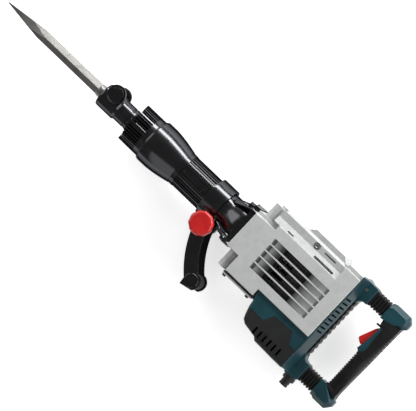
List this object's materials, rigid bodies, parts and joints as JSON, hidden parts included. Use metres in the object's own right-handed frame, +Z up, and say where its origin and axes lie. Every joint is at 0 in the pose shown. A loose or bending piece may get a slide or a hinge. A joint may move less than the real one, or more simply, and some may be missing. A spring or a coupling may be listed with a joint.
{
  "type": "demolition hammer",
  "caption": "Electric demolition hammer with hexagonal point chisel, bulged barrel, louvred crankcase, curved side handle, damped D handle and trigger.",
  "frame": {"origin": "on the tool axis at the front face of the nose, where the chisel goes in", "axes": "+X runs back along the tool axis to the D handle and the chisel points to -X; +Y is the gear cover side and -Y the motor side; +Z is the tool's left side, so the tool lies on its right side cover with +Z up"},
  "size_m": [0.985, 0.258, 0.124],
  "materials": {
    "black_enamel": "gloss black paint on castings",
    "black_alloy": "gloss black paint on an alloy casting",
    "cast_aluminium": "sandy cast and tumbled",
    "cover_aluminium": "fine shot-blasted casting",
    "chisel_steel": "forged and ground",
    "machined_steel": "ground",
    "gear_steel": "oiled",
    "zinc_screws": "zinc plated",
    "black_screws": "black oxide",
    "bearing_steel": "polished",
    "copper": "turned copper",
    "laminations": "varnished laminations",
    "carbon": "pressed carbon",
    "teal_plastic": "fine textured moulding",
    "black_plastic": "fine textured moulding",
    "black_rubber": "moulded rubber",
    "red_plastic": "gloss moulding"
  },
  "bodies": {
    "housing": {"tool_holder": "black_enamel", "holder_bolts": "black_screws", "beat_sleeve": "machined_steel", "damper_ring": "black_rubber", "barrel_head": "black_alloy", "cylinder_liner": "machined_steel", "barrel": "black_alloy", "barrel_studs": "black_screws", "neck_casting": "black_alloy", "neck_bolts": "black_screws", "shaft_bearings": "bearing_steel", "stator": "laminations", "carbon_brushes": "carbon", "brush_holders": "copper", "crankcase": "cast_aluminium", "side_cover_left": "cover_aluminium", "side_cover_right": "cover_aluminium", "housing_screws": "zinc_screws", "louvre_baffles": "black_plastic", "gear_cover": "cast_aluminium", "grease_cap": "zinc_screws", "lower_gasket": "black_rubber", "lower_cover": "cast_aluminium", "lower_cover_bolts": "black_screws", "motor_housing": "teal_plastic", "motor_end_cover": "black_plastic", "rear_cover": "teal_plastic", "rear_pad": "black_rubber", "cable_gland": "black_plastic", "handle_bellows": "black_rubber", "damper_springs": "machined_steel"},
    "chisel": {"chisel": "chisel_steel"},
    "retainer": {"bit_retainer": "machined_steel", "retainer_discs": "black_screws"},
    "beat_piece": {"beat_piece": "machined_steel"},
    "ram": {"ram": "machined_steel", "ram_rings": "black_rubber"},
    "piston": {"piston": "machined_steel", "piston_rings": "black_rubber"},
    "crank": {"crankshaft": "machined_steel", "crank_gear": "gear_steel"},
    "rod": {"connecting_rod": "machined_steel"},
    "layshaft": {"intermediate_shaft": "machined_steel", "intermediate_gear": "gear_steel"},
    "rotor": {"armature": "laminations", "commutator": "copper", "cooling_fan": "black_plastic"},
    "handle": {"damper_pins": "machined_steel", "handle_shell": "teal_plastic", "grip_rubber": "black_rubber", "handle_screws": "zinc_screws", "trigger_bezel": "teal_plastic", "switch_body": "black_plastic"},
    "trigger": {"trigger": "red_plastic"},
    "lock": {"lock_button": "black_plastic"},
    "collar": {"clamp_collar": "black_alloy", "clamp_bolt": "zinc_screws"},
    "side_handle": {"side_handle": "black_enamel", "side_grip": "black_rubber"},
    "knob": {"clamp_knob": "red_plastic"}
  },
  "joints": [
    {"name": "chisel_slide", "type": "slide", "parent": "housing", "child": "chisel", "axis": [-1, 0, 0], "range_m": [0, 0.018]},
    {"name": "retainer_turn", "type": "hinge", "parent": "housing", "child": "retainer", "pos_m": [0.025, 0.0175, 0], "axis": [0, 0, 1], "range_deg": [0, 180]},
    {"name": "beat_piece_slide", "type": "slide", "parent": "housing", "child": "beat_piece", "axis": [-1, 0, 0], "range_m": [0, 0.005]},
    {"name": "ram_slide", "type": "slide", "parent": "housing", "child": "ram", "axis": [1, 0, 0], "range_m": [0, 0.03]},
    {"name": "piston_slide", "type": "slide", "parent": "housing", "child": "piston", "axis": [-1, 0, 0], "range_m": [0, 0.026]},
    {"name": "crank_spin", "type": "hinge", "parent": "housing", "child": "crank", "pos_m": [0.461, 0, 0], "axis": [0, 1, 0], "continuous": true},
    {"name": "rod_on_crank", "type": "hinge", "parent": "crank", "child": "rod", "pos_m": [0.474, 0, 0], "axis": [0, 1, 0], "continuous": true},
    {"name": "layshaft_spin", "type": "hinge", "parent": "housing", "child": "layshaft", "pos_m": [0.511, 0, 0], "axis": [0, 1, 0], "continuous": true},
    {"name": "armature_spin", "type": "hinge", "parent": "housing", "child": "rotor", "pos_m": [0.54625, 0, 0], "axis": [0, 1, 0], "continuous": true},
    {"name": "handle_slide", "type": "slide", "parent": "housing", "child": "handle", "axis": [-1, 0, 0], "range_m": [0, 0.005], "stiffness_N_per_m": 20000, "springref_m": -0.002, "deforming": ["handle_bellows", "damper_springs"]},
    {"name": "trigger_pull", "type": "hinge", "parent": "handle", "child": "trigger", "pos_m": [0.69, 0.038, 0], "axis": [0, 0, 1], "range_deg": [0, 8], "stiffness_Nm_per_rad": 1, "springref_deg": -8.59},
    {"name": "lock_press", "type": "slide", "parent": "handle", "child": "lock", "axis": [1, 0, 0], "range_m": [0, 0.003], "stiffness_N_per_m": 300, "springref_m": -0.003},
    {"name": "collar_swivel", "type": "hinge", "parent": "housing", "child": "collar", "pos_m": [0.302, 0, 0], "axis": [1, 0, 0], "continuous": true},
    {"name": "side_handle_tilt", "type": "hinge", "parent": "collar", "child": "side_handle", "pos_m": [0.315, -0.046, 0], "axis": [0, 0, 1], "range_deg": [-50, 8]},
    {"name": "knob_turn", "type": "hinge", "parent": "collar", "child": "knob", "pos_m": [0.315, -0.046, 0.05], "axis": [0, 0, 1], "continuous": true}
  ],
  "couplings": [
    {"joint": "rod_on_crank", "follows": "crank_spin", "ratio": -1},
    {"joint": "layshaft_spin", "follows": "crank_spin", "ratio": -3.5455},
    {"joint": "armature_spin", "follows": "crank_spin", "ratio": 17.284}
  ]
}
